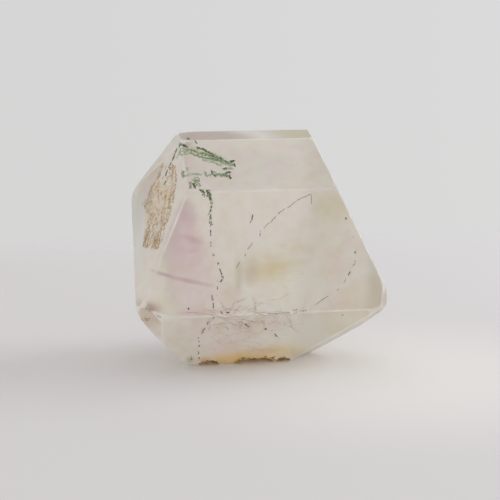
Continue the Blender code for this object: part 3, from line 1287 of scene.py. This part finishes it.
@dataclass
class RustPatch(Minerals):
    """Rust that spread along a fracture behind the left face, in ragged streaks that run down it.

    It is thick along the right edge, at the bottom and at the upper left. It is mostly gold at the
    right and the bottom, and tan elsewhere.
    """

    brown: Grain = Grain("rust_brown", shade(166, 132, 92), shade(190, 160, 120), 1200, transmission=0.2)
    gold: Grain = Grain("rust_gold", shade(206, 174, 128), shade(226, 200, 156), 1200, transmission=0.2)
    tan: Grain = Grain("rust_tan", shade(208, 192, 162), shade(224, 212, 188), 1200, transmission=0.2)
    left_edge: tuple[Place, ...] = (
        (-3.0, 48.6),
        (-3.2, 45.7),
        (-1.4, 41.8),
        (-1.9, 38.3),
        (-6.4, 36.4),
        (-7.2, 33.7),
        (-9.2, 29.6),
    )
    right_edge: tuple[Place, ...] = (
        (-8.6, 48.9),
        (-11.4, 45.9),
        (-13.2, 42.3),
        (-14.5, 38.7),
        (-15.4, 34.4),
        (-16.2, 30.0),
    )
    zones: tuple[RustZone, ...] = (
        RustZone((0.72, 1.0), (0.0, 0.75), 0.75),
        RustZone((0.0, 1.0), (0.84, 1.0), 0.85),
        RustZone((0.0, 0.4), (0.22, 0.55), 0.5),
        RustZone((0.0, 0.16), (0.0, 0.2), 0.6),
        RustZone((0.0, 1.0), (0.55, 1.0), 0.4),
    )
    chance_elsewhere: float = 0.2
    golden_right_of: float = 0.72
    golden_below: float = 0.8
    brown_share: float = 0.1
    golden_share: float = 0.85
    golden_share_elsewhere: float = 0.45
    streaks: int = 26
    start_within: Span = (0.1, 0.9)
    steps: int = 44
    wander: float = 0.05
    slant: float = 0.02
    run_steps: Span = (0.6, 1.6)
    half_width_mm: Span = (0.1, 0.3)
    flake_mm: Span = (0.08, 0.21)
    spacing_mm: float = 0.08
    scatter_seed: int = 5
    first_seed: int = 20

    def growths(self) -> Iterable[Growth]:
        """Plans the patch.

        Yields:
            The growths.
        """
        runs = self._runs()
        plan = (
            ("rust_brown", Look.LEFT, self.brown, tuple(runs[RustShade.BROWN])),
            ("rust_gold", Look.LEFT, self.gold, tuple(runs[RustShade.GOLD])),
            ("rust_tan", Look.LEFT, self.tan, tuple(runs[RustShade.TAN])),
        )
        for seed, parts in enumerate(plan, self.first_seed):
            yield Growth(*parts, self.flake_mm, self.spacing_mm, seed)

    def _runs(self) -> dict[RustShade, list[Stroke]]:
        """Draws the streaks as short runs, each in one of the patch's colours.

        Returns:
            The runs of each colour.
        """
        draw = random.Random(self.scatter_seed)
        runs: dict[RustShade, list[Stroke]] = {tint: [] for tint in RustShade}
        for number in range(self.streaks):
            across = (number + draw.uniform(*self.start_within)) / self.streaks
            for step in range(self.steps):
                across = min(1.0, max(0.0, across + draw.uniform(-self.wander, self.wander)))
                down = (step + draw.random()) / self.steps
                chance = draw.random()
                width = draw.uniform(*self.half_width_mm)
                tint = draw.random()
                if chance > self._chance(across, down):
                    continue
                length = draw.uniform(*self.run_steps) / self.steps
                start = self._place(across, down)
                lower = across + draw.uniform(-self.slant, self.slant)
                end = self._place(lower, min(1.0, down + length))
                runs[self._shade(across, down, tint)].append(stroke(width, start, end))
        return runs

    def _place(self, across: float, down: float) -> Place:
        """A place in the patch, as it is seen from the left.

        Args:
            across: the share of the way from the left edge to the right.
            down: the share of the way from the top to the bottom.

        Returns:
            The place in mm.
        """
        left, right = self._on_edge(self.left_edge, down), self._on_edge(self.right_edge, down)
        return tuple(a + (b - a) * across for a, b in zip(left, right))

    @staticmethod
    def _on_edge(edge: tuple[Place, ...], down: float) -> Place:
        """The place at a share of the way down one edge.

        Args:
            edge: the edge's points, from the top down.
            down: the share of the way down.

        Returns:
            The place in mm.
        """
        spot = down * (len(edge) - 1)
        index = min(int(spot), len(edge) - 2)
        share = spot - index
        (x, y), (next_x, next_y) = edge[index], edge[index + 1]
        return x + (next_x - x) * share, y + (next_y - y) * share

    def _chance(self, across: float, down: float) -> float:
        """How likely a run is at a place: the greatest chance of the zones that hold it."""
        chances = [zone.chance for zone in self.zones if zone.holds(across, down)]
        return max([self.chance_elsewhere, *chances])

    def _shade(self, across: float, down: float, drawn: float) -> RustShade:
        """Picks the colour of a run.

        Args:
            across: the share of the way across the patch.
            down: the share of the way down it.
            drawn: a number from 0 to 1, drawn for the run.

        Returns:
            The colour.
        """
        if drawn < self.brown_share:
            return RustShade.BROWN
        golden = across > self.golden_right_of or down > self.golden_below
        if drawn < (self.golden_share if golden else self.golden_share_elsewhere):
            return RustShade.GOLD
        return RustShade.TAN


@dataclass
class Threads(Minerals):
    """A tangle of fine brown and pale threads across the foot of the front.

    Some of them are chosen one by one. The others are drawn in an oval, more of them near its middle.
    """

    brown: Grain = Grain("thread_brown", shade(178, 148, 126), shade(208, 182, 162))
    pale: Grain = Grain("thread_pale", shade(226, 214, 204), shade(246, 238, 230))
    chosen: tuple[Stroke, ...] = (
        stroke(0.05, (-13.0, 15.6), (-11.0, 15.2), (-9.6, 15.1)),
        stroke(0.05, (-8.7, 13.2), (-7.4, 13.9), (-6.4, 13.4)),
        stroke(0.05, (-6.0, 12.0), (-4.6, 11.6), (-3.2, 10.6)),
        stroke(0.05, (-9.0, 8.2), (-5.0, 9.3), (-1.8, 9.0)),
        stroke(0.05, (1.0, 11.0), (2.2, 11.8)),
        stroke(0.06, (2.7, 8.4), (3.4, 7.8), (4.2, 6.8)),
        stroke(0.06, (-5.2, 5.4), (-3.2, 5.0), (0.6, 3.4)),
        stroke(0.05, (-12.8, 4.9), (-10.6, 4.5)),
        stroke(0.05, (-21.0, 14.9), (-17.4, 15.2), (-13.2, 14.4), (-9.6, 13.2)),
        stroke(0.06, (-12.6, 11.6), (-9.4, 12.0), (-6.0, 11.0), (-3.0, 9.4)),
        stroke(0.05, (-12.4, 14.0), (-8.8, 12.8), (-5.4, 12.8), (-2.0, 11.6)),
        stroke(0.06, (-10.4, 16.2), (-8.8, 14.2), (-6.6, 13.4), (-4.8, 14.0)),
        stroke(0.05, (-3.4, 14.8), (-0.4, 13.6), (2.8, 13.8), (6.4, 13.2)),
        stroke(0.05, (-2.6, 8.4), (0.4, 9.4), (3.4, 9.2), (7.0, 10.4), (10.6, 11.2)),
        stroke(0.05, (-9.4, 5.8), (-6.2, 6.8), (-3.0, 6.4), (0.2, 5.2)),
    )
    middle_mm: Place = (-5.6, 11.8)
    reach_mm: Place = (12.0, 7.0)
    scatter: Span = (0.5, 0.4)
    count: int = 96
    longest_mm: float = 5.0
    shortest_share: float = 0.3
    heading_scatter: float = 0.5
    most_bend: float = 0.35
    joints: int = 5
    half_width_mm: Span = (0.02, 0.07)
    crumb_mm: Span = (0.07, 0.13)
    spacing_mm: float = 0.06
    depth_mm: float = 0.02
    share_kept: float = 0.85
    tangle_seed: int = 12
    first_seed: int = 30

    def growths(self) -> Iterable[Growth]:
        """Plans the threads.

        Yields:
            The growths.
        """
        tangle = tuple(self._tangle())
        plan = (
            ("threads_brown", Look.FRONT, self.brown, self.chosen + tangle[::2]),
            ("threads_pale", Look.FRONT, self.pale, tangle[1::2]),
        )
        lie = {"depth_mm": self.depth_mm, "share_kept": self.share_kept}
        for seed, parts in enumerate(plan, self.first_seed):
            yield Growth(*parts, self.crumb_mm, self.spacing_mm, seed, **lie)

    def _tangle(self) -> Iterable[Stroke]:
        """Draws the curved threads of the oval.

        Yields:
            The threads.
        """
        draw = random.Random(self.tangle_seed)
        for _ in range(self.count):
            x = self.middle_mm[0] + draw.gauss(0, self.scatter[0]) * self.reach_mm[0]
            y = self.middle_mm[1] + draw.gauss(0, self.scatter[1]) * self.reach_mm[1]
            heading = draw.gauss(0, self.heading_scatter)
            bend = draw.uniform(-self.most_bend, self.most_bend)
            pace = draw.uniform(self.shortest_share, 1.0) * self.longest_mm / self.joints
            points = [(x, y)]
            for _ in range(self.joints):
                heading += bend
                x, y = x + math.cos(heading) * pace, y + math.sin(heading) * pace
                points.append((x, y))
            yield stroke(draw.uniform(*self.half_width_mm), *points)


@dataclass
class BaseCrust(Minerals):
    """Brown crust left in the hollows of the base, as crumbs on the stained rock.

    Each hollow is given by its left end, its right end and its top, in mm.
    """

    dark: Grain = Grain("crust_dark", shade(132, 100, 64), shade(172, 138, 92), 1300, roughness=0.9)
    pale: Grain = Grain("crust_pale", shade(184, 148, 98), shade(222, 188, 134), 1300, roughness=0.9)
    hollows_mm: tuple[Triple, ...] = (
        (-14.9, -10.1, 1.0),
        (-6.1, -0.2, 1.3),
        (-0.4, 4.3, 1.4),
        (4.6, 7.6, 0.9),
    )
    foot_mm: float = 0.35
    arch_power: int = 4
    rows: int = 5
    columns: int = 9
    share_dabbed: float = 0.35
    dab_half_width_mm: float = 0.12
    dab_mm: Span = (0.1, 0.5)
    dab_rise_mm: float = 0.1
    crumb_mm: Span = (0.1, 0.26)
    spacing_mm: float = 0.06
    first_seed: int = 41

    def growths(self) -> Iterable[Growth]:
        """Plans the crust.

        Yields:
            The growths.
        """
        plan = (("crust_dark", self.dark), ("crust_pale", self.pale))
        for seed, (name, finish) in enumerate(plan, self.first_seed):
            dabs = tuple(self._dabs(seed))
            yield Growth(name, Look.FRONT, finish, dabs, self.crumb_mm, self.spacing_mm, seed)

    def _dabs(self, seed: int) -> Iterable[Stroke]:
        """Scatters short dabs over the arch of each hollow.

        Args:
            seed: which scatter it is.

        Yields:
            The dabs.
        """
        draw = random.Random(seed)
        for left, right, top in self.hollows_mm:
            for index in range(self.rows * self.columns):
                row, column = divmod(index, self.columns)
                along = (column + draw.random()) / self.columns
                arch = top * (1 - (2 * along - 1) ** self.arch_power)
                x = left + (right - left) * along
                z = self.foot_mm + arch * (row + draw.random()) / self.rows
                length = draw.uniform(*self.dab_mm)
                if draw.random() < self.share_dabbed:
                    rise = draw.uniform(-self.dab_rise_mm, self.dab_rise_mm)
                    yield stroke(self.dab_half_width_mm, (x, z), (x + length, z + rise))


SUB_ASSEMBLIES = (DottedVeins, GreenFilm, RustPatch, Threads, BaseCrust)


@dataclass
class Studio:
    """The pale floor, the soft light all round and the camera."""

    floor_half_width: float = 0.45
    floor_back: float = 0.19
    floor_front: float = 0.45
    floor_fade: float = 0.07
    floor_colour: Colour = shade(231, 227, 226)
    floor_roughness: float = 0.9
    # A painted pool of light: the floor is paler near the stone, which lightens its shadow.
    painted_light_colour: Colour = shade(245, 241, 237)
    painted_light_place: Triple = (0.03, -0.03, 0)
    painted_light_reach: float = 0.075
    painted_light_core: float = 0.1
    backdrop: Colour = shade(213, 213, 213)
    overhead_front: Colour = shade(166, 165, 164)
    overhead_back: Colour = shade(226, 226, 228)
    below: Colour = shade(213, 211, 209)
    overhead_split: Span = (-0.5, 0.5)
    overhead_from: Span = (0.05, 0.6)
    below_from: Span = (0.0, -0.5)
    from_right: float = 0.12
    from_front: float = 0.24
    softbox_place: Triple = (0.7, 0.08, 0.34)
    softbox_side: float = 0.45
    softbox_watts: float = 2.2
    softbox_colour: Triple = (0.88, 0.94, 1.0)
    lens_mm: float = 118.2
    distance: float = 0.4
    nearest: float = 0.01
    farthest: float = 10
    turn: float = -11.5
    rise: float = 10.0
    aim_mm: Triple = (-1.19, -5.81, 27.2)

    def build(self) -> bpy.types.Object:
        """Builds the floor, the light and the camera.

        Returns:
            The floor.
        """
        self._sky()
        self._softbox()
        self._camera()
        return self._floor()

    def _floor(self) -> bpy.types.Object:
        """Makes the floor.

        Returns:
            The floor.
        """
        mesh = bpy.data.meshes.new("floor")
        left, right = -self.floor_half_width, self.floor_half_width
        near, far = -self.floor_front, self.floor_back
        corners = [(left, near, 0), (right, near, 0), (right, far, 0), (left, far, 0)]
        mesh.from_pydata(corners, [], [(0, 1, 2, 3)])
        mesh.materials.append(self._floor_finish(right, near, far))
        return link("floor", mesh)

    def _floor_finish(self, side: float, near: float, far: float) -> bpy.types.Material:
        """Makes the floor's finish, with a painted pool of light round the stone that lightens its
        shadow, and faded out at its far edges.

        Args:
            side: how far the floor reaches to each side.
            near: where it starts in front.
            far: where it ends behind.

        Returns:
            The material.
        """
        material, board, shader, _ = new_material("pale_floor_painted_light")
        place = board.place()
        parts = board.add("ShaderNodeSeparateXYZ", {0: place}).outputs
        outwards = board.math("ABSOLUTE", parts["X"])
        across = board.fade(outwards, (side - self.floor_fade, side), 1.0, 0.0)
        back = board.fade(parts["Y"], (far - self.floor_fade, far), 1.0, 0.0)
        front = board.fade(parts["Y"], (near, near + self.floor_fade))
        # Painted light: the floor gets paler towards the middle of the pool, near the stone.
        painted_light_distance = board.vector("LENGTH", board.vector("SUBTRACT", place, self.painted_light_place))
        share = board.fade(painted_light_distance, (self.painted_light_core * self.painted_light_reach, self.painted_light_reach))
        finish = {
            "Base Color": board.blend(share, self.painted_light_colour, self.floor_colour),
            "Roughness": self.floor_roughness,
            "Specular IOR Level": 0.0,
            "Alpha": board.math("MULTIPLY", board.math("MULTIPLY", across, back), front),
        }
        board.plug(shader, finish)
        return material

    def _sky(self) -> None:
        """Lights the scene softly from all round, a little more from the right and from the front."""
        world = bpy.data.worlds.new("soft_studio")
        bpy.context.scene.world = world
        world.use_nodes = True
        world.node_tree.nodes.clear()
        board = NodeBoard(world.node_tree)
        direction = board.add("ShaderNodeTexCoord").outputs["Generated"]
        parts = board.add("ShaderNodeSeparateXYZ", {0: direction}).outputs
        split = board.fade(parts["Y"], self.overhead_split)
        overhead = board.blend(split, self.overhead_front, self.overhead_back)
        colour = board.blend(board.fade(parts["Z"], self.overhead_from), self.backdrop, overhead)
        colour = board.blend(board.fade(parts["Z"], self.below_from), colour, self.below)
        across = board.math("MULTIPLY", parts["X"], self.from_right)
        front = board.math("MULTIPLY", board.math("SUBTRACT", 1.0, parts["Y"]), self.from_front)
        strength = board.math("ADD", board.math("ADD", across, front), 1.0)
        background = board.add("ShaderNodeBackground", {"Color": colour, "Strength": strength})
        board.add("ShaderNodeOutputWorld", {"Surface": background.outputs[0]})

    def _softbox(self) -> None:
        """Hangs a large soft light at the right, so that the shadow falls to the left.

        It isn't mirrored in the facets, where it would be a plain white patch.
        """
        light = bpy.data.lights.new("softbox", "AREA")
        light.size = self.softbox_side
        light.energy = self.softbox_watts
        light.color = self.softbox_colour
        lamp = bpy.data.objects.new("softbox", light)
        lamp.location = self.softbox_place
        lamp.rotation_euler = (-Vector(self.softbox_place)).to_track_quat("-Z", "Y").to_euler()
        lamp.visible_glossy = False
        bpy.context.scene.collection.objects.link(lamp)

    def _camera(self) -> None:
        """Puts the camera in front of the stone."""
        data = bpy.data.cameras.new("camera")
        data.lens = self.lens_mm
        data.clip_start = self.nearest
        data.clip_end = self.farthest
        camera = bpy.data.objects.new("camera", data)
        bpy.context.scene.collection.objects.link(camera)
        turn, rise = math.radians(self.turn), math.radians(self.rise)
        back = Vector(
            (math.sin(turn) * math.cos(rise), -math.cos(turn) * math.cos(rise), math.sin(rise))
        )
        camera.location = Vector(self.aim_mm) * MM + back * self.distance
        camera.rotation_euler = (-back).to_track_quat("-Z", "Y").to_euler()
        bpy.context.scene.camera = camera
        bpy.context.scene.view_settings.view_transform = "Standard"


def report(piece: bpy.types.Object) -> None:
    """Logs a finished piece's name and its number of faces."""
    log.info("%s: %d faces", piece.name, len(piece.data.polygons))


def main() -> None:
    """Builds the studio, the stone and what grew in it."""
    logging.basicConfig(level=logging.INFO, format="%(name)s %(message)s")
    floor = Studio().build()
    stone = StoneBody(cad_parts[STONE_NODE])
    body = stone.dress()
    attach(body, BODY)
    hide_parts(STONE_NODE)
    report(body)
    tree = FleckTree()
    for sub_assembly in SUB_ASSEMBLIES:
        for piece in sub_assembly().build(stone, tree):
            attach(piece, BODY)
            report(piece)
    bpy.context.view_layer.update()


if __name__ == "__main__":
    main()
